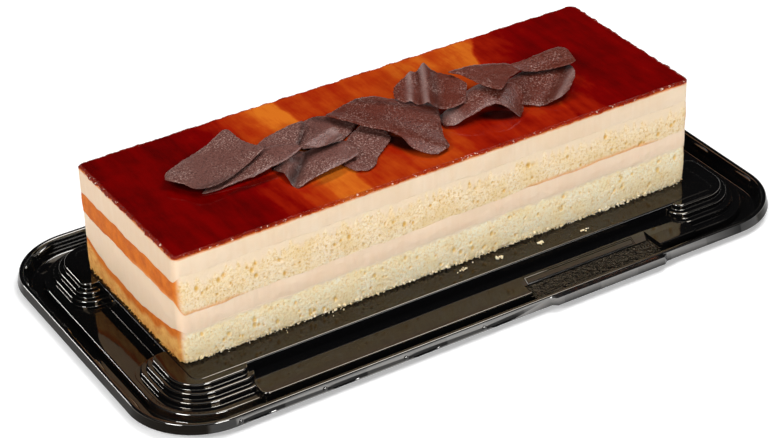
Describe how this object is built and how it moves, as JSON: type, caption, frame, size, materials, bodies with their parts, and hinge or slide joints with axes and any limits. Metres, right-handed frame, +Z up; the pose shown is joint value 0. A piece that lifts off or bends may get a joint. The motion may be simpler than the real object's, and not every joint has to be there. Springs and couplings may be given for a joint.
{
  "type": "tres leches cake",
  "caption": "Bar cake of soaked sponge and cream layers under a marbled caramel glaze, topped with curled chocolate shards, on its low stepped black tray.",
  "frame": {"origin": "middle of the tray's outline, at the surface that it stands on", "axes": "+X along the cake, +Y towards its back long side, +Z up; the cut front with the tray's tab faces -Y"},
  "size_m": [0.3492, 0.1848, 0.085],
  "materials": {
    "tray_plastic": "glossy black thermoformed sheet",
    "sponge": "pale yellow open crumb, golden brown crust on the ends",
    "cream": "smooth pale cream with a soft sheen",
    "glaze": "mirror glaze, dark red brown marbled with amber",
    "chocolate": "dark milk chocolate, fine ribs and grain, satin"
  },
  "bodies": {
    "root": {"tray": "tray_plastic", "sponge_lower": "sponge", "cream_filling": "cream", "sponge_upper": "sponge", "cream_top": "cream", "caramel_glaze": "glaze", "chocolate_shard_01": "chocolate", "chocolate_shard_02": "chocolate", "chocolate_shard_03": "chocolate", "chocolate_shard_04": "chocolate", "chocolate_shard_05": "chocolate", "chocolate_shard_06": "chocolate", "chocolate_shard_07": "chocolate", "chocolate_shard_08": "chocolate", "chocolate_shard_09": "chocolate", "chocolate_shard_10": "chocolate", "chocolate_shard_11": "chocolate", "chocolate_shard_12": "chocolate", "chocolate_shard_13": "chocolate"}
  },
  "joints": []
}
